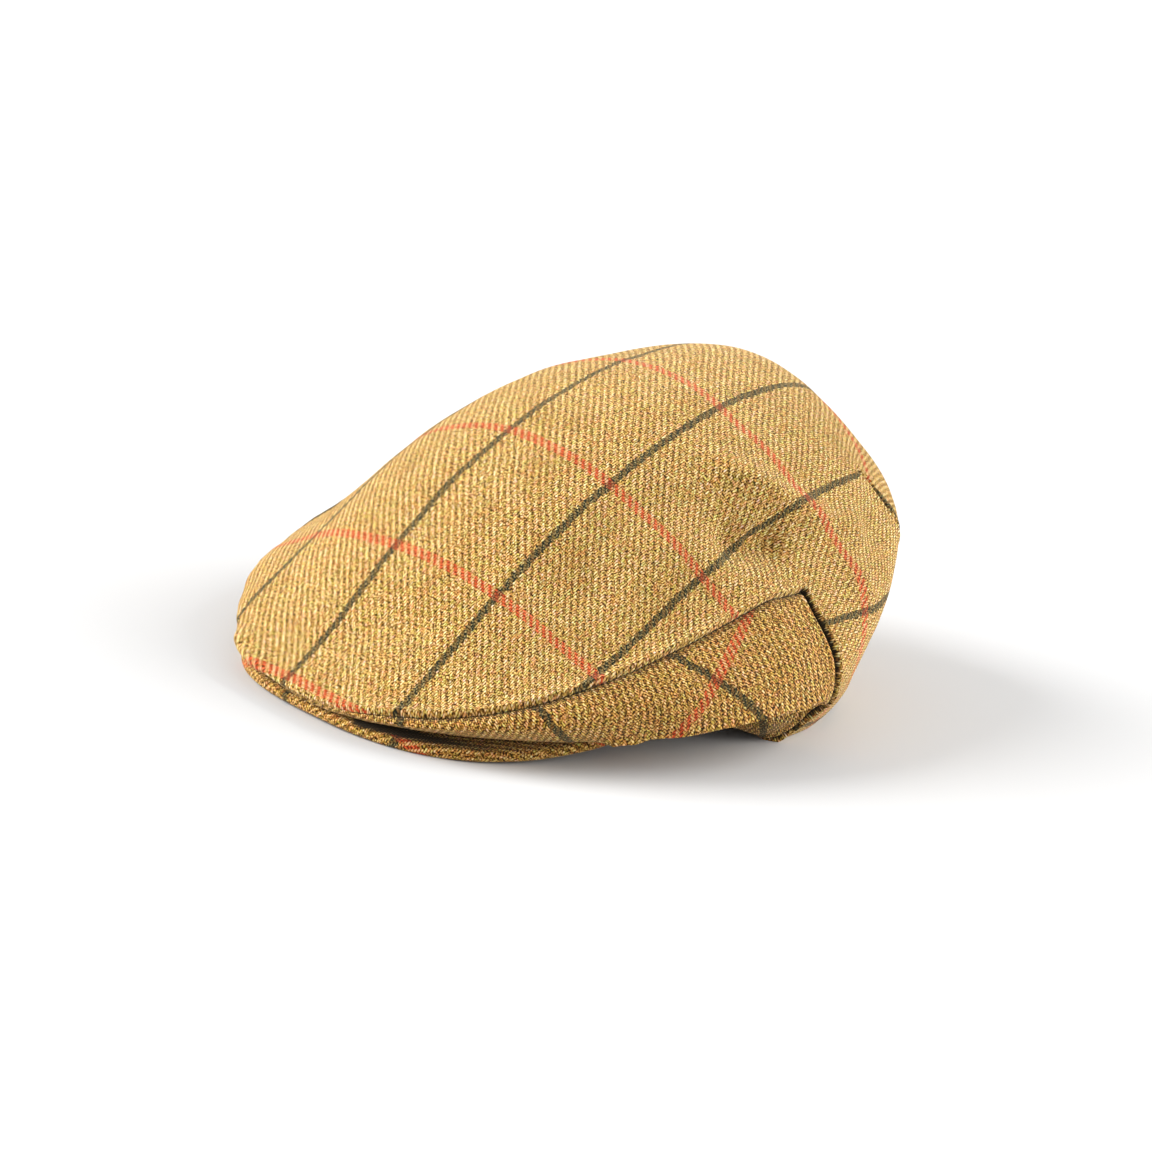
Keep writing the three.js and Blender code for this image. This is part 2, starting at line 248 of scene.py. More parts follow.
def dart_angle(level):
    down = np.clip((DART["tip_level"] - level) / (DART["tip_level"] - RIM_LEVEL), 0, 1)
    return np.radians(DART["tip_angle"] + (DART["rim_angle"] - DART["tip_angle"]) * np.sqrt(down))


# ---- The grid that the panels are cut from ----

# Wide columns round half the cap: front to rear seam, rear seam to dart, dart to back
SIDE_COLUMNS, FLANK_COLUMNS, BACK_COLUMNS = 24, 8, 8
HALF_COLUMNS = SIDE_COLUMNS + FLANK_COLUMNS + BACK_COLUMNS
ALL_COLUMNS = 2 * HALF_COLUMNS
DART_COLUMN = SIDE_COLUMNS + FLANK_COLUMNS
SEAM_COLUMNS = (0, SIDE_COLUMNS, DART_COLUMN)
WIDE_LEVELS = [half / 2 for half in range(2 * SEAM_LEVEL)]
WIDE_LEVELS += [7, 7.35, 7.7, 8.05, 8.35, 8.7, 9.05, 9.4, 9.75, 10.1, 10.45, 10.75]
EVEN_SHARES = np.arange(5) / 5
CLOSE_SHARES = np.array([0, 0.045, 0.1, 0.17, 0.26, 0.38, 0.54, 0.76])  # fine beside a seam
TOP_LEVELS = [10.75, 10.82, 10.89, 10.95]


def shares_between(close_at_start, close_at_end):
    """Where the fine lines lie from one wide line to the next."""
    if close_at_start:
        return CLOSE_SHARES
    if close_at_end:
        return np.append(0, 1 - CLOSE_SHARES[:0:-1])
    return EVEN_SHARES


def fine_columns():
    """Column numbers round the whole cap, with whole numbers at the wide columns."""
    seams = {*SEAM_COLUMNS, *(ALL_COLUMNS - c for c in SEAM_COLUMNS)}
    columns = [c + shares_between(c in seams, c + 1 in seams) for c in range(ALL_COLUMNS)]
    return np.concatenate(columns)


def fine_levels():
    """Levels of the fine rows, from the hem to just below the apex."""
    levels = [
        a + (b - a) * shares_between(a == SEAM_LEVEL, b == SEAM_LEVEL)
        for a, b in zip(WIDE_LEVELS, WIDE_LEVELS[1:])
    ]
    return np.concatenate(levels + [TOP_LEVELS])


def column_angle(column, level):
    """Angle of a column: it follows the rear seam and the dart, and comes back round the
    right side after the half."""
    mirrored = np.where(column > HALF_COLUMNS, ALL_COLUMNS - column, column)
    seam, dart = rear_seam_angle(level), dart_angle(level)
    flank = np.clip((mirrored - SIDE_COLUMNS) / FLANK_COLUMNS, 0, 1)
    back = np.clip((mirrored - DART_COLUMN) / BACK_COLUMNS, 0, 1)
    angle = np.where(
        mirrored <= SIDE_COLUMNS,
        seam * mirrored / SIDE_COLUMNS,
        seam + (dart - seam) * flank + (np.pi - dart) * back,
    )
    return np.where(column > HALF_COLUMNS, -angle, angle)


def smooth_step(value, start, end):
    share = np.clip((value - start) / (end - start), 0, 1)
    return share**2 * (3 - 2 * share)


def laid_level(angle, level):
    """The level of the skin where the cloth of a level comes to lie."""
    degrees = np.degrees((angle + np.pi) % (2 * np.pi) - np.pi)
    pull = PULL["levels"] * smooth_step(degrees, PULL["from"], PULL["full"])
    pull = pull * (1 - smooth_step(degrees, PULL["full_to"], PULL["to"]))
    away = (level - SEAM_LEVEL) / np.where(level < SEAM_LEVEL, -PULL_BELOW, PULL_ABOVE)
    return level - pull * np.maximum(1 - away, 0)


def laid_skin(column, level):
    """The skin where a column and a level of the cloth lie."""
    angle = column_angle(column, level)
    return smooth_skin(angle, laid_level(angle, level))


COLUMNS, LEVELS = fine_columns(), fine_levels()
# Where the wide columns and levels are on the fine grid
WIDE_AT = [int(np.argmin(np.abs(COLUMNS - c))) for c in range(ALL_COLUMNS)]
WIDE_ROWS = [int(np.argmin(np.abs(LEVELS - level))) for level in WIDE_LEVELS]
SEAM_ROW = WIDE_ROWS[WIDE_LEVELS.index(SEAM_LEVEL)]
GRID_COLUMN, GRID_LEVEL = np.meshgrid(COLUMNS, LEVELS, indexing="ij")
GRID_ANGLE = column_angle(GRID_COLUMN, GRID_LEVEL)
GRID_LAID = laid_level(GRID_ANGLE, GRID_LEVEL)
SKIN = smooth_skin(GRID_ANGLE, GRID_LAID)
OUT = out_of_skin(GRID_ANGLE, GRID_LAID)


def side_cells(side):
    """Which cells a side panel has; side is 1 on the wearer's left and -1 on the right."""
    beside = COLUMNS < SIDE_COLUMNS if side > 0 else COLUMNS >= ALL_COLUMNS - SIDE_COLUMNS
    return beside[:, None] & (np.arange(len(LEVELS) - 1) < SEAM_ROW)[None]


# ---- Flattening a panel, so that its weave lies as cut cloth does ----


def corner_numbers(cells, cut_columns=(), cut_top=0):
    """Numbers the corners of the cells. A cut has corners of its own on each side, so each
    has one number as the start of its column and one as the end of the one before."""
    used = np.zeros((cells.shape[0], cells.shape[1] + 1), bool)
    used[:, :-1] |= cells
    used[:, 1:] |= cells
    before = np.roll(used, 1, axis=0)
    start = np.full(used.shape, -1)
    start[used | before] = np.arange((used | before).sum())
    end = start.copy()
    count = start.max() + 1
    for c in cut_columns:
        rows = np.arange(cut_top)[used[c, :cut_top] & before[c, :cut_top]]
        end[c, rows] = count + np.arange(len(rows))
        count += len(rows)
    return start, end, count


def corners_round(column, row, start, end):
    """The four corner numbers of a cell, or of each of many, in order round it."""
    after = (column + 1) % start.shape[0]
    around = start[column, row], end[after, row], end[after, row + 1], start[column, row + 1]
    return np.stack(around, -1)


def corner_shares(across, up):
    """What part each of a cell's four corners has in a place within it."""
    return np.array([(1 - across) * (1 - up), across * (1 - up), across * up, (1 - across) * up])


def cell_corners(cells, start, end):
    return corners_round(*np.nonzero(cells), start, end)


def per_corner(grid_values, start, end, count):
    """Values of the grid as one row for each corner number."""
    values = np.zeros((count, *grid_values.shape[2:]))
    for numbers in (start, end):
        held = numbers >= 0
        values[numbers[held]] = grid_values[held]
    return values


def triangles_of(quads):
    return np.concatenate([quads[:, [0, 1, 2]], quads[:, [0, 2, 3]]])


EDGE_WEIGHTS = (0.03, 8)  # least and greatest, so that no sliver holds too little or too much


class FlatPattern:
    """Finds flat places for the corners of a curved sheet that keep its lengths as well as
    can be: each triangle wants only to be turned, not stretched."""

    def __init__(self, points, triangles):
        self.triangles = triangles
        corners = points[triangles]
        along, across = corners[:, 1] - corners[:, 0], corners[:, 2] - corners[:, 0]
        length = np.maximum(np.linalg.norm(along, axis=1), 1e-6)
        x = (across * along).sum(1) / length
        y = np.sqrt(np.maximum((across**2).sum(1) - x**2, 1e-8))
        flat = np.zeros((len(triangles), 3, 2))
        flat[:, 1, 0], flat[:, 2, 0], flat[:, 2, 1] = length, x, y
        self.edges = []
        for k in range(3):
            i, j = (k + 1) % 3, (k + 2) % 3
            a, b = flat[:, i] - flat[:, k], flat[:, j] - flat[:, k]
            twice_area = np.abs(a[:, 0] * b[:, 1] - a[:, 1] * b[:, 0])
            weight = 0.5 * np.clip((a * b).sum(1) / np.maximum(twice_area, 1e-9), *EDGE_WEIGHTS)
            self.edges.append((triangles[:, i], triangles[:, j], weight, flat[:, i] - flat[:, j]))
        self.count = len(points)

    def gathered(self, numbers, values):
        """The sum of the rows of values for each corner."""
        return np.stack([np.bincount(numbers, v, self.count) for v in values.T], 1)

    def pull(self, places):
        """What the turned triangles ask of each corner."""
        turn = np.zeros((len(self.triangles), 2, 2))
        for i, j, weight, rest in self.edges:
            turn += weight[:, None, None] * (places[i] - places[j])[:, :, None] * rest[:, None]
        c, s = turn[:, 0, 0] + turn[:, 1, 1], turn[:, 1, 0] - turn[:, 0, 1]
        size = np.hypot(c, s) + 1e-12
        c, s = c / size, s / size
        asked = np.zeros((self.count, 2))
        for i, j, weight, rest in self.edges:
            wanted = weight[:, None] * np.stack(
                [c * rest[:, 0] - s * rest[:, 1], s * rest[:, 0] + c * rest[:, 1]], 1
            )
            asked += self.gathered(i, wanted) - self.gathered(j, wanted)
        return asked

    def settle(self, places, marks):
        """Solves for all corners at once, for a coarse sheet. Each mark has the numbers of
        corners, their shares, the axis and the value that the cloth has there."""
        joined = np.zeros((self.count, self.count))
        for i, j, weight, _ in self.edges:
            for a, b in ((i, j), (j, i)):
                np.add.at(joined, (a, a), weight)
                np.add.at(joined, (a, b), -weight)
        solve, held = [], []
        for axis in range(2):
            matrix, right = joined.copy(), np.zeros(self.count)
            for corners, shares, mark_axis, value in marks:
                if mark_axis == axis:
                    matrix[np.ix_(corners, corners)] += MARK_FIRMNESS * np.outer(shares, shares)
                    right[corners] += MARK_FIRMNESS * shares * value
            matrix[np.arange(self.count), np.arange(self.count)] += 1e-6
            solve.append(np.linalg.inv(matrix))
            held.append(right)
        for _ in range(SETTLE_ROUNDS):
            asked = self.pull(places)
            places = np.stack([solve[a] @ (asked[:, a] + held[a]) for a in range(2)], 1)
        return places

    def ease(self, places):
        """Takes the small kinks out of places that are nearly right, for a fine sheet."""
        total = np.zeros(self.count)
        for i, j, weight, _ in self.edges:
            total += np.bincount(i, weight, self.count) + np.bincount(j, weight, self.count)
        for step in range(EASE_ROUNDS):
            if step % EASE_TURNS_EVERY == 0:
                asked = self.pull(places)
            near = np.zeros((self.count, 2))
            for i, j, weight, _ in self.edges:
                near += self.gathered(i, weight[:, None] * places[j])
                near += self.gathered(j, weight[:, None] * places[i])
            eased = (asked + near) / total[:, None]
            places = (1 - EASE_SHARE) * places + EASE_SHARE * eased
        return places


def cell_of(angle, level, cells):
    """The wide column and row under a place, and how far the place is across them."""
    levels = laid_level(np.radians(angle), np.array(WIDE_LEVELS, float))
    row = int(np.clip(np.searchsorted(levels, level) - 1, 0, len(WIDE_LEVELS) - 2))
    angles = np.unwrap(column_angle(np.arange(ALL_COLUMNS), level))
    angles = np.append(angles, angles[0] + 2 * np.pi)
    angle = np.radians(angle) % (2 * np.pi)
    column = int(np.clip(np.searchsorted(angles, angle) - 1, 0, ALL_COLUMNS - 1))
    across = (angle - angles[column]) / (angles[column + 1] - angles[column])
    up = (level - levels[row]) / (levels[row + 1] - levels[row])
    if not cells[column, row] and cells[column, row - 1]:
        row, up = row - 1, 1.0
    if not cells[column, row] and cells[column, min(row + 1, cells.shape[1] - 1)]:
        row, up = row + 1, 0.0
    return column, row, across, up


def mark_corners(angle, level, wide, start, end, wide_points):
    """The corners of the wide grid that a mark holds, and the share of each."""
    if level > TOP_MARK_LEVEL:
        corners = start[:, WIDE_LEVELS.index(TOP_RING_LEVEL)]
        ring = np.stack([*wide_points[corners, :2].T, np.ones(len(corners))])
        x, y, _ = smooth_skin(np.radians(angle), np.array(level))
        return corners, np.linalg.pinv(ring) @ [x, y, 1]
    column, row, across, up = cell_of(angle, level, wide)
    return corners_round(column, row, start, end), corner_shares(across, up)


def first_guess(points, marks, across, along):
    """Flat places as seen along a fixed direction, with the first full mark in place."""
    angle, level, green, red = next(m for m in marks if None not in m)
    offset = points - smooth_skin(np.radians(angle), np.array(level))
    flat = np.stack([offset @ unit(np.array(axis, float)) for axis in (across, along)], -1)
    return flat + STRIPE_MIDDLE + [green * GREEN_SPACING, red * RED_SPACING]


def between_wide(places, cells, wide_numbers, fine_numbers, count):
    """Places on the fine grid, cell by cell of the wide one. Each grid has two tables of
    corner numbers, for the starts and for the ends of its columns."""
    levels = np.array(WIDE_LEVELS)
    columns, rows = np.nonzero(cells & (LEVELS[:-1] < levels[-1]))
    base = np.floor(COLUMNS[columns]).astype(int)
    low = np.searchsorted(levels, LEVELS[rows], "right") - 1
    around = corners_round(base, low, *wide_numbers)
    fine = np.zeros((count, 2))
    for column_step, numbers in enumerate(fine_numbers):
        for row_step in (0, 1):
            column, row = (columns + column_step) % len(COLUMNS), rows + row_step
            across = np.where(column < columns, ALL_COLUMNS, COLUMNS[column]) - base
            up = (LEVELS[row] - levels[low]) / (levels[low + 1] - levels[low])
            shares = corner_shares(across, up)
            fine[numbers[column, row]] = sum(
                share[:, None] * places[corner] for share, corner in zip(shares, around.T)
            )
    return fine


def fill_top(fine, numbers):
    """Within the top ring the cloth lies as the skin does when it is seen from above."""
    last = WIDE_ROWS[WIDE_LEVELS.index(TOP_RING_LEVEL)]
    seen = np.concatenate([SKIN[:, :, :2], np.ones((*SKIN.shape[:2], 1))], 2)
    ring = fine[numbers[:, last]]
    fit = np.linalg.lstsq(seen[:, last], ring, rcond=None)[0]
    for row in range(last + 1, len(LEVELS)):
        away = (APEX_LEVEL - LEVELS[row]) / (APEX_LEVEL - LEVELS[last])
        fine[numbers[:, row]] = seen[:, row] @ fit + away * (ring - seen[:, last] @ fit)


def cloth_places(cells, marks, across, along, cuts=(), mirror=1):
    """Millimetres across and along the cloth for the corners of a panel's cells, and the
    corners of each cell. mirror is -1 where the cloth lies as in a looking-glass."""
    wide = cells[np.ix_(WIDE_AT, WIDE_ROWS[:-1])]
    tip_row = WIDE_LEVELS.index(DART["tip_level"])
    start, end, count = corner_numbers(wide, cuts, tip_row)
    wide_points = per_corner(SKIN[np.ix_(WIDE_AT, WIDE_ROWS)], start, end, count)
    held = []
    for angle, level, green, red in marks:
        corners, shares = mark_corners(angle, level, wide, start, end, wide_points)
        if green is not None:
            place = (green * GREEN_SPACING + STRIPE_MIDDLE[0]) * mirror
            held.append((corners, shares, 0, place))
        if red is not None:
            held.append((corners, shares, 1, red * RED_SPACING + STRIPE_MIDDLE[1]))
    places = first_guess(wide_points, marks, across, along) * [mirror, 1]
    pattern = FlatPattern(wide_points, triangles_of(cell_corners(wide, start, end)))
    places = pattern.settle(places, held)

    fine_cuts = [WIDE_AT[c] for c in cuts]
    fine_start, fine_end, fine_count = corner_numbers(cells, fine_cuts, WIDE_ROWS[tip_row])
    fine = between_wide(places, cells, (start, end), (fine_start, fine_end), fine_count)
    if cells[0, -1]:
        fill_top(fine, fine_start)
    quads = cell_corners(cells, fine_start, fine_end)
    fine_points = per_corner(SKIN, fine_start, fine_end, fine_count)
    fine = FlatPattern(fine_points, triangles_of(quads)).ease(fine)
    return fine * [mirror, 1], quads


# ---- The surface of the cloth ----

LINE_POINTS = 3000  # along a seam or a fold, for measuring distances to it


def distance_to(points, line):
    """Distance from each point to the nearest of a line of closely spaced points."""
    tree = KDTree(len(line))
    for number, point in enumerate(line):
        tree.insert(point, number)
    tree.balance()
    return np.array([tree.find(p)[2] for p in points.reshape(-1, 3)]).reshape(points.shape[:-1])


def both_sides(line):
    """Distances of the skin to a line and to its mirror image."""
    return distance_to(SKIN, np.concatenate([line, line * [-1, 1, 1]]))


def bell(distance, width):
    """1 on a line, falling smoothly to 0 beyond about its width."""
    return np.exp(-((distance / width) ** 2))


def line_on_skin(places):
    """Closely spaced points on the skin along a line through places."""
    angles, levels = np.array(places, float).T
    share = np.linspace(0, len(angles) - 1, LINE_POINTS)
    at = np.arange(len(angles))
    return smooth_skin(np.radians(np.interp(share, at, angles)), np.interp(share, at, levels))


def waves(points, height, size, seed):
    """Smooth waves over the points, of about that height and size."""
    shift = NOISE_SHIFT * seed
    values = [noise.noise(Vector(p) + shift) for p in points.reshape(-1, 3) / size]
    return height * np.array(values).reshape(points.shape[:-1])


# Distances from the seams and the darts
over_sides = np.linspace(-SIDE_COLUMNS, SIDE_COLUMNS, LINE_POINTS) % ALL_COLUMNS
below_seam = np.linspace(0, SEAM_LEVEL, LINE_POINTS)
below_tip = np.linspace(RIM_LEVEL, DART["tip_level"], LINE_POINTS)
TOP_SEAM = distance_to(SKIN, laid_skin(over_sides, SEAM_LEVEL))
REAR_SEAMS = both_sides(laid_skin(SIDE_COLUMNS, below_seam))
DARTS = both_sides(laid_skin(DART_COLUMN, below_tip))
FRONT_SEAM = both_sides(laid_skin(0, below_seam))

EDGE = np.minimum(TOP_SEAM, REAR_SEAMS)  # of a side panel, other than its front and hem
REARWARD = TOP_SEAM / np.maximum(TOP_SEAM + REAR_SEAMS, 0.01)  # 1 beside a rear seam
# 1 where the crown is pulled down and covers its own seam
COVERED = np.clip((GRID_LEVEL - GRID_LAID) / PULL["levels"] * 1.2, 0, 1)


def common_height():
    """Folds, soft waves and puckers, which run on from panel to panel."""
    height = np.zeros(SKIN.shape[:-1])
    for places, out, width in FOLDS.values():
        height += out * bell(distance_to(SKIN, line_on_skin(places)), width)
    for settings in WAVES:
        height += waves(SKIN, *settings)
    puckers = waves(SKIN, *PUCKERS)
    for seam in (TOP_SEAM, REAR_SEAMS, DARTS):
        height += np.exp(-seam / PUCKER_REACH) * puckers
    return height


def crease_height():
    """Creases of the side panels, which die away at the seams that hold the cloth."""
    height = np.zeros(SKIN.shape[:-1])
    for places, out, width in CREASES.values():
        away = both_sides(line_on_skin(places))
        height += out * (np.exp(-away / width) if out > 0 else bell(away, width))
    return height * (1 - np.exp(-EDGE / SEAM_HOLDS))


# How a panel rolls over at its seams and dips into them: the distances from a seam, the
# height, what is added to it beside a rear seam and where the crown covers the seam, how far
# from the seam it lies, and its width
CROWN_ROLLS = (
    (DARTS, 0.5, 0, 0, 1.8, 1.4),
    (DARTS, -2, 0, 0, 0, 0.9),
    (EDGE, 1.6, 0, -1, 1.8, 1.3),
    (EDGE, -1.4, -0.9, 1, 0, 0.9),
)
SIDE_ROLLS = (
    (EDGE, -1.2, 0.6, 0.9, 0, 1.5),
    (FRONT_SEAM, -0.8, 0, 0, 0, 0.9),
    (EDGE, 0, 0.9, 0, 2.2, 1.6),
    (EDGE, 0, -1.2, 0, 0, 0.8),
)


def rolled(rolls):
    return sum(
        (height + rearward * REARWARD + covered * COVERED) * bell(distance - away, width)
        for distance, height, rearward, covered, away, width in rolls
    )


COMMON = common_height()
CROWN_HEIGHT = COMMON + rolled(CROWN_ROLLS)
SIDE_HEIGHT = COMMON + crease_height() + rolled(SIDE_ROLLS)


def groove(distance, inside, outside):
    """How much painted shade a place gets: 1 within a seam's groove or other shaded band, fading
    to 0 outside it.
    """
    return np.clip((outside - distance) / (outside - inside), 0, 1)


# Painted shade of the cloth in the seams, under the crown's edge and where it is turned
# under: 1 is black, and about 0.5 darkens only between the yarns
CROWN_PAINTED_SHADES = (
    groove(REAR_SEAMS, 0.5, 2.1),
    0.85 * groove(DARTS, 0.2, 1.7),
    0.66 * groove(TOP_SEAM, 0, 1.3) * (1 - COVERED),
)
SIDE_PAINTED_SHADES = (
    groove(REAR_SEAMS, 0.2, 1.4),
    0.75 * groove(TOP_SEAM, 0, 1.2),
    0.58 * groove(TOP_SEAM, 1, 9),  # in the shade of the crown's edge
    0.6 * groove(FRONT_SEAM, 0, 1.2),
    0.54 * groove(GRID_LAID, 4.3, 5),  # painted shade where the cloth is turned under
)
CROWN_PAINTED_SHADE = np.maximum.reduce(CROWN_PAINTED_SHADES)
SIDE_PAINTED_SHADE = np.maximum.reduce(SIDE_PAINTED_SHADES) * (1 - 0.8 * COVERED)


def cloth_layers(height, trim_round, trim_up):
    """Outer and inner points of the cloth on the grid, in metres. trim_round and trim_up
    move it off the lines of the columns and of the levels, to leave the gap of a seam."""
    above = level_above(GRID_LEVEL)
    up_column = laid_skin(GRID_COLUMN, above) - laid_skin(GRID_COLUMN, above - 2 * STEP)
    ahead = laid_skin(GRID_COLUMN + STEP, GRID_LEVEL) - laid_skin(GRID_COLUMN - STEP, GRID_LEVEL)
    off_column, off_level = unit(np.cross(up_column, OUT)), unit(np.cross(OUT, ahead))
    outer = SKIN + OUT * height[..., None]
    outer += off_column * trim_round[..., None] + off_level * trim_up[..., None]
    inner = outer - OUT * CLOTH
    outer[..., 2] = np.maximum(outer[..., 2], 0)
    inner[..., 2] = np.maximum(inner[..., 2], INSIDE_LIFT)
    return outer * MM, inner * MM


SHARP_ANGLE = 55  # edges that turn more than this many degrees are sharp


def new_object(name, data):
    made = bpy.data.objects.new(name, data)
    bpy.context.scene.collection.objects.link(made)
    return made


def mesh_object(name, points, faces, places, painted_shades):
    """A mesh from points, faces and a place on the cloth for each corner of each face."""
    mesh = bpy.data.meshes.new(name)
    mesh.from_pydata(points.tolist(), [], [list(map(int, face)) for face in faces])
    layer = mesh.uv_layers.new(name="cloth")
    layer.data.foreach_set("uv", np.concatenate(places).astype(np.float32).ravel())
    # the groove attribute carries the painted shade, which the material darkens by
    mesh.attributes.new("groove", "FLOAT", "POINT").data.foreach_set("value", painted_shades)
    mesh.shade_smooth()
    mesh.set_sharp_from_angle(angle=math.radians(SHARP_ANGLE))
    return new_object(name, mesh)


def shell(name, cells, layers, painted_shades, places, quads, close_top=False):
    """One closed shell of cloth: the outer faces, the same ones inside, and walls round
    the edge."""
    start, _, count = corner_numbers(cells)
    corners = cell_corners(cells, start, start)
    points = np.concatenate([per_corner(layer, start, start, count) for layer in layers])
    painted_shades = np.tile(per_corner(painted_shades, start, start, count), 2)
    faces = [*corners, *(corners[:, ::-1] + count)]
    cloth = [places[quads].reshape(-1, 2), places[quads[:, ::-1]].reshape(-1, 2)]
    edges = {}
    for face, spots in zip(corners.tolist(), quads.tolist()):
        for k in range(4):
            a, b = face[k], face[(k + 1) % 4]
            if edges.pop((b, a), None) is None:
                edges[a, b] = (spots[k], spots[(k + 1) % 4])
    if close_top:
        apex = smooth_skin(np.zeros(1), np.full(1, APEX_LEVEL))
        apex[:, 2] += waves(apex, *WAVES[0])
        points = np.concatenate([points, apex * MM, (apex - [0, 0, CLOTH]) * MM])
        painted_shades = np.append(painted_shades, [0, 0])
        last_row = set(start[:, -1].tolist())
        top = {a: (b, spots) for (a, b), spots in edges.items() if a in last_row}
        middle = np.mean([places[spots[0]] for _, spots in top.values()], axis=0)
        for a, (b, spots) in top.items():
            first, second = places[spots[0]], places[spots[1]]
            faces += [[b, a, 2 * count], [a + count, b + count, 2 * count + 1]]
            cloth += [np.array([second, first, middle]), np.array([first, second, middle])]
            edges.pop((a, b))
    for (a, b), (place_a, place_b) in edges.items():
        faces.append([b, a, a + count, b + count])
        cloth.append(places[[place_b, place_a, place_a, place_b]])
    return mesh_object(name, points, faces, cloth, painted_shades)


def crown():
    """The crown: all above the side seams, and the back."""
    cells = ~(side_cells(1) | side_cells(-1))
    trim_round, trim_up = np.zeros((2, *GRID_LEVEL.shape))
    trim_round[WIDE_AT[SIDE_COLUMNS], : SEAM_ROW + 1] = SEAM_GAP / 2
    trim_round[WIDE_AT[-SIDE_COLUMNS], : SEAM_ROW + 1] = -SEAM_GAP / 2
    beside = (COLUMNS <= SIDE_COLUMNS) | (COLUMNS >= ALL_COLUMNS - SIDE_COLUMNS)
    trim_up[beside, SEAM_ROW] = SEAM_GAP / 2
    cuts = (DART_COLUMN, ALL_COLUMNS - DART_COLUMN)
    places, quads = cloth_places(cells, CROWN_MARKS, (1, 0, 0), (0, 1, 0), cuts)
    layers = cloth_layers(CROWN_HEIGHT, trim_round, trim_up)
    return shell("crown_tweed", cells, layers, CROWN_PAINTED_SHADE, places, quads, close_top=True)


def side_panel(name, side):
    """A side panel: side is 1 on the wearer's left and -1 on the right, which is cut as
    the mirror image."""
    cells = side_cells(side)
    trim_round, trim_up = np.zeros((2, *GRID_LEVEL.shape))
    trim_round[0] = side * SEAM_GAP / 2
    trim_round[WIDE_AT[side * SIDE_COLUMNS]] = -side * SEAM_GAP / 2
    trim_up[:, SEAM_ROW] = -SEAM_GAP / 2
    marks = [(side * angle, level, green, red) for angle, level, green, red in SIDE_MARKS]
    places, quads = cloth_places(cells, marks, (0, 1, 1), (0, -1, 1), mirror=side)
    layers = cloth_layers(SIDE_HEIGHT, trim_round, trim_up)
    return shell(name, cells, layers, SIDE_PAINTED_SHADE, places, quads)


# ---- The peak ----

PEAK = {"front": -153, "wide": -50, "half": 79, "power": 2.5, "z_front": 4.4}
PEAK_RISE = 0.14  # of its edge, for each millimetre back from the front
PEAK_ARCH = 7  # drop of the edge from the middle to the widest place
PEAK_TIP_ANGLE = 51  # where its root ends, in degrees round the cap
PEAK_TIP_SHARE = 0.8  # from here to the tip its edge comes to the height of the root
PEAK_ROOT_LEVEL = RIM_LEVEL + 0.2
PEAK_THICKNESS = 4
PEAK_CLEARANCE = 0.6
PEAK_LINES_AT = (-11.7, -143.0)  # x of a green line, and y of a red one
PEAK_SECTIONS, PEAK_EDGE_ROWS = 180, 11
PEAK_INSETS = np.linspace(1, 0, 14)[:-1] ** 1.3  # of its rows above and below: 1 is the root
PEAK_WAVES = (0.25, 14, 5)
PEAK_SHADE = ((9, 4.9), (52, 4.9))  # painted shade of the fold that lies over it, along this line


def peak():
    """A crescent whose root follows the rim: each section runs out over the top, round the
    edge and back underneath, and the cloth runs on with it."""
    t = np.linspace(-1, 1, PEAK_SECTIONS + 1)
    root = smooth_skin(np.radians(PEAK_TIP_ANGLE) * t, np.full(t.shape, PEAK_ROOT_LEVEL))
    root -= [0, FORWARD, PEAK_CLEARANCE]
    angle = np.pi / 2 * t
    reach = PEAK["wide"] - PEAK["front"]
    n = PEAK["power"]
    c, s = np.abs(np.cos(angle)), np.abs(np.sin(angle))
    radius = ((c / reach) ** n + (s / PEAK["half"]) ** n) ** (-1 / n)
    x, y = radius * np.sin(angle), PEAK["wide"] - radius * np.cos(angle)
    z = PEAK["z_front"] + PEAK_RISE * (y - PEAK["front"]) - PEAK_ARCH * (x / PEAK["half"]) ** 2
    z += (root[:, 2] - z) * smooth_step(np.abs(t), PEAK_TIP_SHARE, 1)
    edge = np.stack([x, y, z], 1)
    out = edge - root
    width = np.hypot(out[:, 0], out[:, 1])
    plan_out = out[:, :2] / width[:, None]
    half = PEAK_THICKNESS / 2
    rows, places = [], []

    def add_row(inset, drop, run):
        """A row of points at an inset from the edge and a drop from the top. The cloth has run
        that far out over the edge."""
        rows.append(root + out * (1 - inset / width)[:, None] - [0, 0, drop])
        places.append(edge[:, :2] + plan_out * np.reshape(run, (-1, 1)))

    insets = [half + (width - half) * share for share in PEAK_INSETS]
    for inset in insets:
        add_row(inset, 0, -inset)
    for bend in np.linspace(np.pi / 2, -np.pi / 2, PEAK_EDGE_ROWS):
        inset, drop = half * (1 - math.cos(bend)), half * (1 - math.sin(bend))
        add_row(inset, drop, half * (np.pi / 2 - bend - 1))
    for inset in insets[::-1]:
        add_row(inset, PEAK_THICKNESS, inset + half * (np.pi - 2))
    points = np.stack(rows, 1) + [0, FORWARD, 0]
    points[..., 2] += waves(points, *PEAK_WAVES) * np.minimum(points[..., 2] / 2, 1)
    points[..., 2] = np.maximum(points[..., 2], 0)
    places = np.stack(places, 1) - PEAK_LINES_AT + STRIPE_MIDDLE
    across = points.shape[1]
    number = np.arange(points.shape[0] * across).reshape(points.shape[:2])
    a, b = number[:-1], number[1:]
    quads = np.stack([a[:, :-1], a[:, 1:], b[:, 1:], b[:, :-1]], -1).reshape(-1, 4)
    joint = np.stack([a[:, -1], a[:, 0], b[:, 0], b[:, -1]], -1)
    flat = places.reshape(-1, 2)
    faces = [*quads, *joint, number[0][::-1], number[-1]]
    cloth = [flat[face] for face in faces]
    # Painted shade on the peak, under the side panel's fold
    painted_shades = groove(distance_to(points, line_on_skin(PEAK_SHADE)), 2.6, 6.5).ravel()
    return mesh_object("peak_tweed", points.reshape(-1, 3) * MM, faces, cloth, painted_shades)


# ---- Materials ----


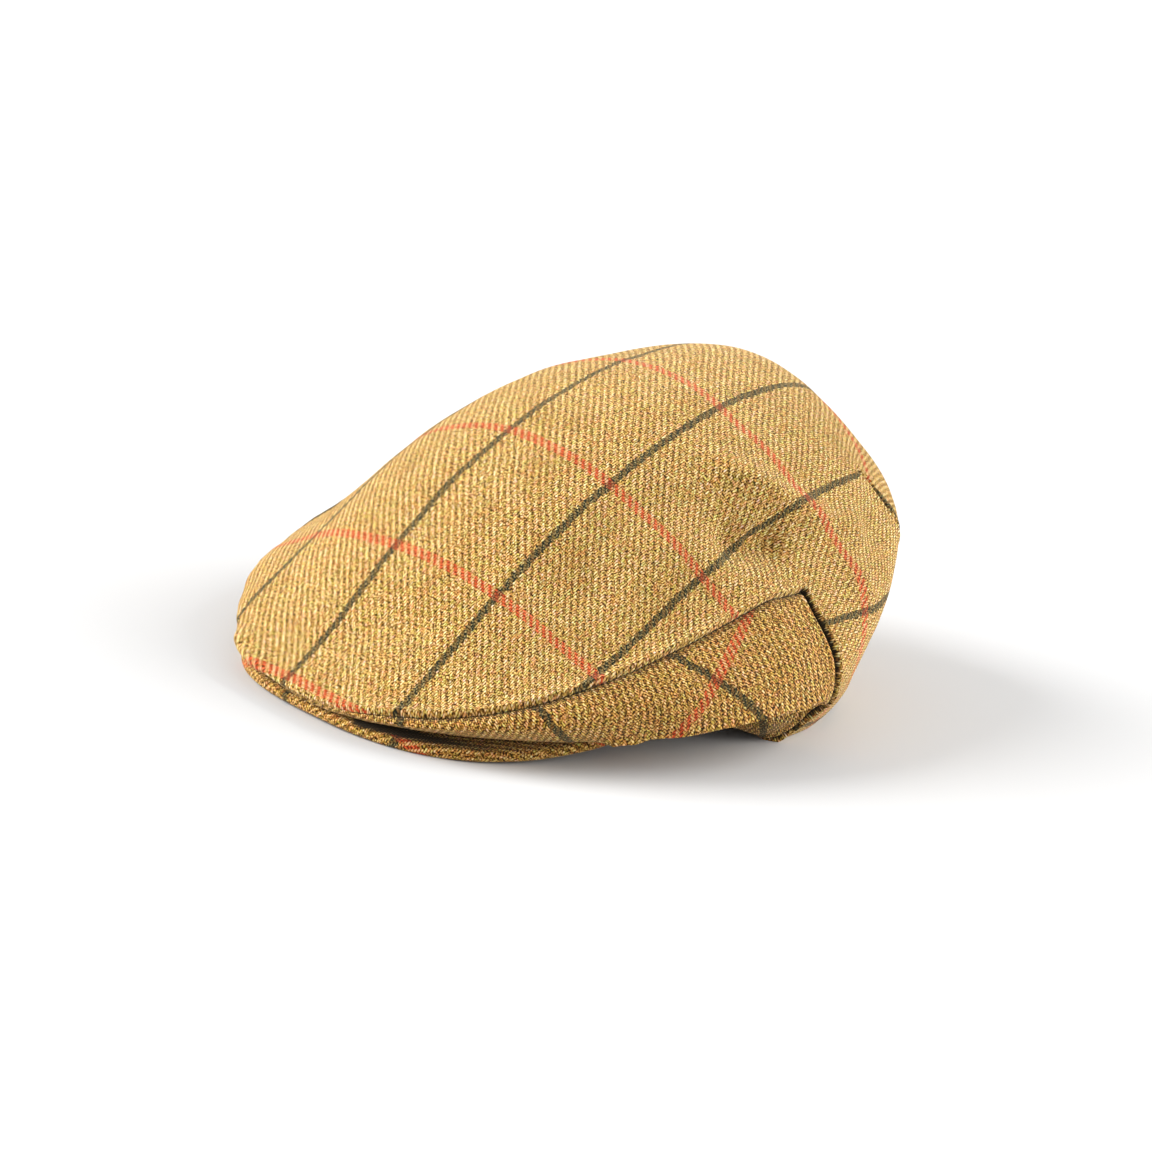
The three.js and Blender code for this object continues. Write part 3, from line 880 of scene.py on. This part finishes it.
class Signal:
    """An output in a node tree that can be added, multiplied and so on."""

    def __init__(self, tree, socket):
        self.tree, self.socket = tree, socket

    def math(self, operation, *others):
        node = self.tree.nodes.new("ShaderNodeMath")
        node.operation = operation
        for slot, value in zip(node.inputs, (self, *others)):
            put(value, self.tree, slot)
        return Signal(self.tree, node.outputs[0])

    __add__ = partialmethod(math, "ADD")
    __sub__ = partialmethod(math, "SUBTRACT")
    __mul__ = partialmethod(math, "MULTIPLY")
    __truediv__ = partialmethod(math, "DIVIDE")
    floor = partialmethod(math, "FLOOR")
    cycle = partialmethod(math, "FLOORED_MODULO")
    less_than = partialmethod(math, "LESS_THAN")

    def clamped(self):
        return self.math("MINIMUM", 1.0).math("MAXIMUM", 0.0)


def put(value, tree, slot):
    """Links a Signal to a socket, or sets the socket to a number or numbers."""
    if isinstance(value, Signal):
        tree.links.new(value.socket, slot)
    else:
        slot.default_value = value


def ramp(factor, stops, smooth=True):
    """Colours along a factor from 0 to 1."""
    node = factor.tree.nodes.new("ShaderNodeValToRGB")
    node.color_ramp.interpolation = "LINEAR" if smooth else "CONSTANT"
    elements = node.color_ramp.elements
    while len(elements) < len(stops):
        elements.new(1.0)
    for element, (place, colour) in zip(elements, stops):
        element.position = place
        element.color = (*colour, 1)
    put(factor, factor.tree, node.inputs["Fac"])
    return Signal(factor.tree, node.outputs["Color"])


def mixed(factor, first, second, blend="MIX"):
    """Colours mixed by a factor; a colour is a Signal or four numbers."""
    tree = next(s.tree for s in (factor, first, second) if isinstance(s, Signal))
    node = tree.nodes.new("ShaderNodeMix")
    node.data_type = "RGBA"
    node.blend_type = blend
    for name, value in (("Factor_Float", factor), ("A_Color", first), ("B_Color", second)):
        put(value, tree, next(s for s in node.inputs if s.identifier == name))
    return Signal(tree, next(s for s in node.outputs if s.identifier == "Result_Color"))


def tinted(colour, tint, factor=1.0):
    return mixed(factor, colour, tint, "MULTIPLY")


def vector(x, y, z):
    node = x.tree.nodes.new("ShaderNodeCombineXYZ")
    for slot, value in zip(node.inputs, (x, y, z)):
        put(value, x.tree, slot)
    return Signal(x.tree, node.outputs[0])


def random_of(x, y, seed):
    """A number from 0 to 1 that is the same wherever x and y are."""
    node = x.tree.nodes.new("ShaderNodeTexWhiteNoise")
    put(vector(x, y, seed), x.tree, node.inputs["Vector"])
    return Signal(x.tree, node.outputs["Value"])


def noise_of(x, y, fineness, seed, detail=2):
    """Smooth noise, mostly from 0.3 to 0.7. fineness is how many spots it has to one of x and
    y, or a number for each."""
    fine_x, fine_y = np.broadcast_to(fineness, 2).tolist()
    node = x.tree.nodes.new("ShaderNodeTexNoise")
    node.inputs["Scale"].default_value = 1.0
    node.inputs["Detail"].default_value = detail
    put(vector(x * fine_x, y * fine_y, seed), x.tree, node.inputs["Vector"])
    return Signal(x.tree, node.outputs["Fac"])


WARP_COLOURS = (
    (0, (0.13, 0.07, 0.022)),
    (0.25, (0.44, 0.26, 0.078)),
    (0.5, (0.76, 0.51, 0.18)),
    (0.75, (0.93, 0.74, 0.37)),
    (1, (0.98, 0.89, 0.65)),
)
WEFT_COLOURS = (
    (0, (0.035, 0.022, 0.008)),
    (0.25, (0.22, 0.13, 0.034)),
    (0.5, (0.48, 0.3, 0.082)),
    (0.75, (0.76, 0.52, 0.19)),
    (1, (0.92, 0.72, 0.36)),
)
# Odd fibres of other colours in the wool, as tints of a stretch of yarn
TINTS = (
    (0, (1, 0.62, 0.5)),
    (0.13, (1, 1, 1)),
    (0.48, (1, 0.92, 0.66)),
    (0.68, (0.74, 0.92, 0.5)),
    (0.82, (0.92, 0.72, 0.84)),
    (0.93, (0.5, 0.62, 0.52)),
)
GREEN_COLOURS = ((0, (0.012, 0.018, 0.012)), (0.5, (0.05, 0.055, 0.03)), (1, (0.4, 0.32, 0.14)))
RED_COLOURS = ((0, (0.25, 0.03, 0.01)), (0.5, (0.72, 0.1, 0.03)), (1, (0.92, 0.26, 0.11)))
# The wool's colours gather in patches: mauve, rust, golden, yellow and green
HEATHER = (
    (0.3, (0.74, 0.62, 0.86)),
    (0.4, (1, 0.72, 0.58)),
    (0.48, (1, 0.97, 0.85)),
    (0.56, (1, 0.98, 0.62)),
    (0.64, (1, 1, 0.38)),
    (0.72, (0.66, 0.88, 0.52)),
)
# Painted shade between the yarns, deepest where the yarns lie lowest
CREVICE_PAINTED_SHADE = ((0, (0.3, 0.22, 0.15)), (0.5, (0.8, 0.74, 0.66)), (1, (1, 1, 1)))
CLOUD = ((0.25, (0.84, 0.78, 0.68)), (0.5, (0.97, 0.95, 0.92)), (0.75, (1, 1, 1)))
GREEN_HAIR = (0.05, 0.05, 0.03, 1)
RED_HAIR = (0.72, 0.16, 0.06, 1)
# The near black of the painted shade in the seams and folds
SEAM_PAINTED_SHADE = (0.02, 0.014, 0.008, 1)
TINTED = 0.55  # how far the odd fibres colour the wool
HEATHERED = 0.55  # how far the wool's colours gather in patches
WARP_SHADE, WEFT_SHADE = 0.46, 0.34  # the middle of each yarn's shades, on the ramps above
YARN_RANGE = 0.25  # how far the shade goes from one stretch of yarn to the next
FIBRE_RANGE = 2.3  # and from fibre to fibre
WARP_FORM, WEFT_FORM = (0.4, 0.9, 0.85), (0.4, 0.72, 0.7)  # lift, middle, roundness
GREEN_RAGGED, RED_RAGGED = 2.2, 1.6  # how far the edges of the lines wander, in yarns
GREEN_HAIRS, RED_HAIRS = 0.75, 0.45  # how well a line's hairs cover the yarns that cross it
FIBRE_FINENESS, RAGGED_FINENESS = 1.3, 0.7  # in spots to a yarn
CLOUD_FINENESS, HEATHER_FINENESS, FUZZ_FINENESS = 0.055, 0.6, 4  # in spots to a millimetre
SLOW_SWAY, QUICK_SWAY = 1.6, 0.5  # how far the yarns wander, in millimetres
SLOW_FINENESS, QUICK_ACROSS, QUICK_ALONG = 0.05, 0.5, 0.3  # and in how many waves to one
SURFACE = {
    "Roughness": 0.92,
    "Specular IOR Level": 0.05,
    "Sheen Weight": 0.16,
    "Sheen Roughness": 0.5,
    "Sheen Tint": (1.0, 0.85, 0.62, 1),
}
BUMP = 0.19  # the weave's relief


def sway(u, v, quick_fineness, seed):
    """How far a yarn wanders from its straight place, in slow and in quick waves."""
    slow = noise_of(u, v, SLOW_FINENESS, seed) - 0.5
    quick = noise_of(u, v, quick_fineness, seed + 1) - 0.5
    return slow * SLOW_SWAY + quick * QUICK_SWAY


def yarn_height(along, across, lift, middle, roundness):
    """How high a yarn lies: it passes over two of the others and under two."""
    side = across * 2.0 - 1.0
    return (along * (math.pi / 2)).math("COSINE") * lift + middle - side * side * roundness


def wool(shade, colours, yarn, stretch, seed):
    """Colours of plain yarns, where each stretch of a yarn may have an odd fibre's tint."""
    tint = ramp(random_of(yarn, stretch, seed), TINTS, smooth=False)
    return tinted(ramp(shade, colours), tint, TINTED)


def tweed(name, hand, painted_shade_darkening=0.0, painted_shade_tint=(1.0, 1.0, 1.0)):
    """Wool tweed woven in a two-and-two twill of pale warp over dark weft, with a check of
    green warp yarns and red weft yarns. hand is 1 or -1 for the way that the ribs lean; the
    last two darken every yarn by that much and tint the whole cloth, as painted shade."""
    material = bpy.data.materials.new(name)
    material.use_nodes = True
    tree = material.node_tree
    shader = tree.nodes["Principled BSDF"]
    uv = tree.nodes.new("ShaderNodeUVMap")
    uv.uv_map = "cloth"
    split = tree.nodes.new("ShaderNodeSeparateXYZ")
    tree.links.new(uv.outputs[0], split.inputs[0])
    u, v = Signal(tree, split.outputs[0]), Signal(tree, split.outputs[1])

    # The number of the yarn at a place, each way, and how far the place is across it
    warp = (u + sway(u, v, (QUICK_ACROSS, QUICK_ALONG), 3)) / END_PITCH
    weft = (v + sway(u, v, (QUICK_ALONG, QUICK_ACROSS), 5)) / PICK_PITCH
    end, pick = warp.floor(), weft.floor()
    across_end, across_pick = warp - end, weft - pick
    step = (end + pick) if hand > 0 else (end - pick)
    phase = step.cycle(4.0)

    along_end = phase + across_pick if hand > 0 else phase - across_pick + 1.0
    warp_height = yarn_height(along_end - 1.0, across_end, *WARP_FORM)
    weft_height = yarn_height(phase + across_end - 3.0, across_pick, *WEFT_FORM)
    warp_on_top = ((warp_height - weft_height) * 4.0 + 0.5).clamped()
    height = warp_height.math("MAXIMUM", weft_height)

    # Heathered yarns: each stretch has its own shade, and odd fibres of other colours
    stretch_warp, stretch_weft = (step / 4.0).floor(), ((step + 2.0) / 4.0).floor()
    fibres = noise_of(warp, weft, FIBRE_FINENESS, 7, detail=0) - 0.5
    # the painted shade of the darker copy comes off every yarn's shade here
    grain = fibres * FIBRE_RANGE - painted_shade_darkening
    warp_shade = random_of(end, stretch_warp, 1.0) * YARN_RANGE + grain + WARP_SHADE
    weft_shade = random_of(pick, stretch_weft, 2.0) * YARN_RANGE + grain + WEFT_SHADE
    plain_warp = wool(warp_shade, WARP_COLOURS, end, stretch_warp, 11.0)
    plain_weft = wool(weft_shade, WEFT_COLOURS, pick, stretch_weft, 12.0)

    # The lines of the check have ragged edges
    ragged = noise_of(warp, weft, RAGGED_FINENESS, 14, detail=0) - 0.5
    green_end = (warp + ragged * GREEN_RAGGED).cycle(GREEN_REPEAT).less_than(LINE_ENDS)
    red_pick = (weft + ragged * RED_RAGGED).cycle(RED_REPEAT).less_than(LINE_PICKS)
    plain = (green_end * -1.0 + 1.0) * (red_pick * -1.0 + 1.0)
    warp_colour = mixed(green_end, plain_warp, ramp(fibres * 3.4 + 0.42, GREEN_COLOURS))
    weft_colour = mixed(red_pick, plain_weft, ramp(weft_shade, RED_COLOURS))
    # Hairs of the green yarns lie over the weft that crosses them, and red over the warp
    hairs = (fibres * 3.0 + 0.6).clamped()
    weft_colour = mixed(green_end * hairs * GREEN_HAIRS, weft_colour, GREEN_HAIR)
    warp_colour = mixed(red_pick * hairs * RED_HAIRS, warp_colour, RED_HAIR)
    colour = mixed(warp_on_top, weft_colour, warp_colour)

    # Painted shade between the yarns and in the seams, and cloudy all over
    depth = ((height - 0.42) * 1.2).clamped()
    colour = tinted(colour, ramp(depth, CREVICE_PAINTED_SHADE))
    colour = tinted(colour, ramp(noise_of(u, v, CLOUD_FINENESS, 9, detail=3), CLOUD))
    heather = ramp(noise_of(u, v, HEATHER_FINENESS, 13, detail=1), HEATHER)
    colour = tinted(colour, heather, plain * HEATHERED)
    # the warmer tint of the painted shade copy
    colour = tinted(colour, (*painted_shade_tint, 1))
    seams = tree.nodes.new("ShaderNodeAttribute")
    seams.attribute_name = "groove"
    # Painted shade: the groove attribute mixes the colour toward near black
    painted_seam_shade = (Signal(tree, seams.outputs["Fac"]) * 2.6 - depth * 0.75 - 0.75).clamped()
    colour = mixed(painted_seam_shade, colour, SEAM_PAINTED_SHADE)
    put(colour, tree, shader.inputs["Base Color"])

    bump = tree.nodes.new("ShaderNodeBump")
    bump.inputs["Strength"].default_value = 1.0
    bump.inputs["Distance"].default_value = BUMP * MM
    fuzz = noise_of(u, v, FUZZ_FINENESS, 10)
    put(height + fuzz * 0.5, tree, bump.inputs["Height"])
    tree.links.new(bump.outputs[0], shader.inputs["Normal"])
    for setting, value in SURFACE.items():
        shader.inputs[setting].default_value = value
    return material


# ---- Putting the cap together ----

FACE = tweed("tweed", 1)
# A darker, warmer copy of the tweed for the side panels and the peak: painted shade
SIDE_SHADED_FACE = tweed("tweed_side_painted_shade", -1, painted_shade_darkening=0.11, painted_shade_tint=(1.0, 0.94, 0.86))

CROWN = crown()
SIDES = [side_panel("side_left_tweed", 1), side_panel("side_right_tweed", -1)]
for piece, node, slot, cloth in (
    (CROWN, "crown_panel", "crown_tweed", FACE),
    (SIDES[0], "side_panel_left", "side_tweed", SIDE_SHADED_FACE),
    (SIDES[1], "side_panel_right", "side_tweed", SIDE_SHADED_FACE),
    (peak(), "peak", "peak_tweed", SIDE_SHADED_FACE),
):
    piece.data.materials.append(cloth)
    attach(piece, "root")
    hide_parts(node)

# ---- Floor, lights and camera, in metres and degrees ----

FLOOR_REACH = 12
FLOOR_COLOUR = (0.6, 0.6, 0.6, 1)
LIGHTS = {
    "key": {"toward": (-0.66, -0.68, 0.5), "strength": 4.6, "angle": 40},
    "rim": {"toward": (0.5, 0.8, 0.42), "strength": 3.7, "angle": 50},
}
SKY_STRENGTH = 0.74
# The camera looks at the cap from the wearer's front left, a little above it
CAMERA_TURNS = ((38.97, "Z"), (90 - 16.78, "X"), (10.57, "Z"))  # from looking straight down
CAMERA_BACK = Vector((-0.00465, -0.0119, 1.3545))  # right, up and away from the cap's middle
CAMERA_LENS = 108.9
CAP_MIDDLE = Vector((0, 0.0047, 0.05))


def floor():
    mesh = bpy.data.meshes.new("floor")
    r = FLOOR_REACH
    mesh.from_pydata([(-r, -r, 0), (r, -r, 0), (r, r, 0), (-r, r, 0)], [], [(0, 1, 2, 3)])
    paint = bpy.data.materials.new("floor")
    paint.use_nodes = True
    shader = paint.node_tree.nodes["Principled BSDF"]
    shader.inputs["Base Color"].default_value = FLOOR_COLOUR
    shader.inputs["Roughness"].default_value = 0.8
    mesh.materials.append(paint)
    ground = new_object("floor", mesh)


def sun(name, toward, strength, angle):
    """A broad, far light; toward is the direction that it comes from."""
    lamp = bpy.data.lights.new(name, "SUN")
    lamp.energy = strength
    lamp.angle = math.radians(angle)
    turned = Vector(toward).to_track_quat("Z", "Y").to_euler()
    new_object(name, lamp).rotation_euler = turned


def camera():
    turned = Matrix.Identity(4)
    for angle, axis in CAMERA_TURNS:
        turned @= Matrix.Rotation(math.radians(angle), 4, axis)
    view = new_object("camera", bpy.data.cameras.new("camera"))
    view.matrix_world = Matrix.Translation(CAP_MIDDLE + turned @ CAMERA_BACK) @ turned
    view.data.lens = CAMERA_LENS
    view.data.clip_end = 100
    bpy.context.scene.camera = view


floor()
for name, settings in LIGHTS.items():
    sun(name, **settings)
world = bpy.data.worlds.new("studio")
world.use_nodes = True
sky = world.node_tree.nodes["Background"]
sky.inputs["Color"].default_value = (1, 1, 1, 1)
sky.inputs["Strength"].default_value = SKY_STRENGTH
bpy.context.scene.world = world
bpy.context.scene.view_settings.view_transform = "Standard"
camera()
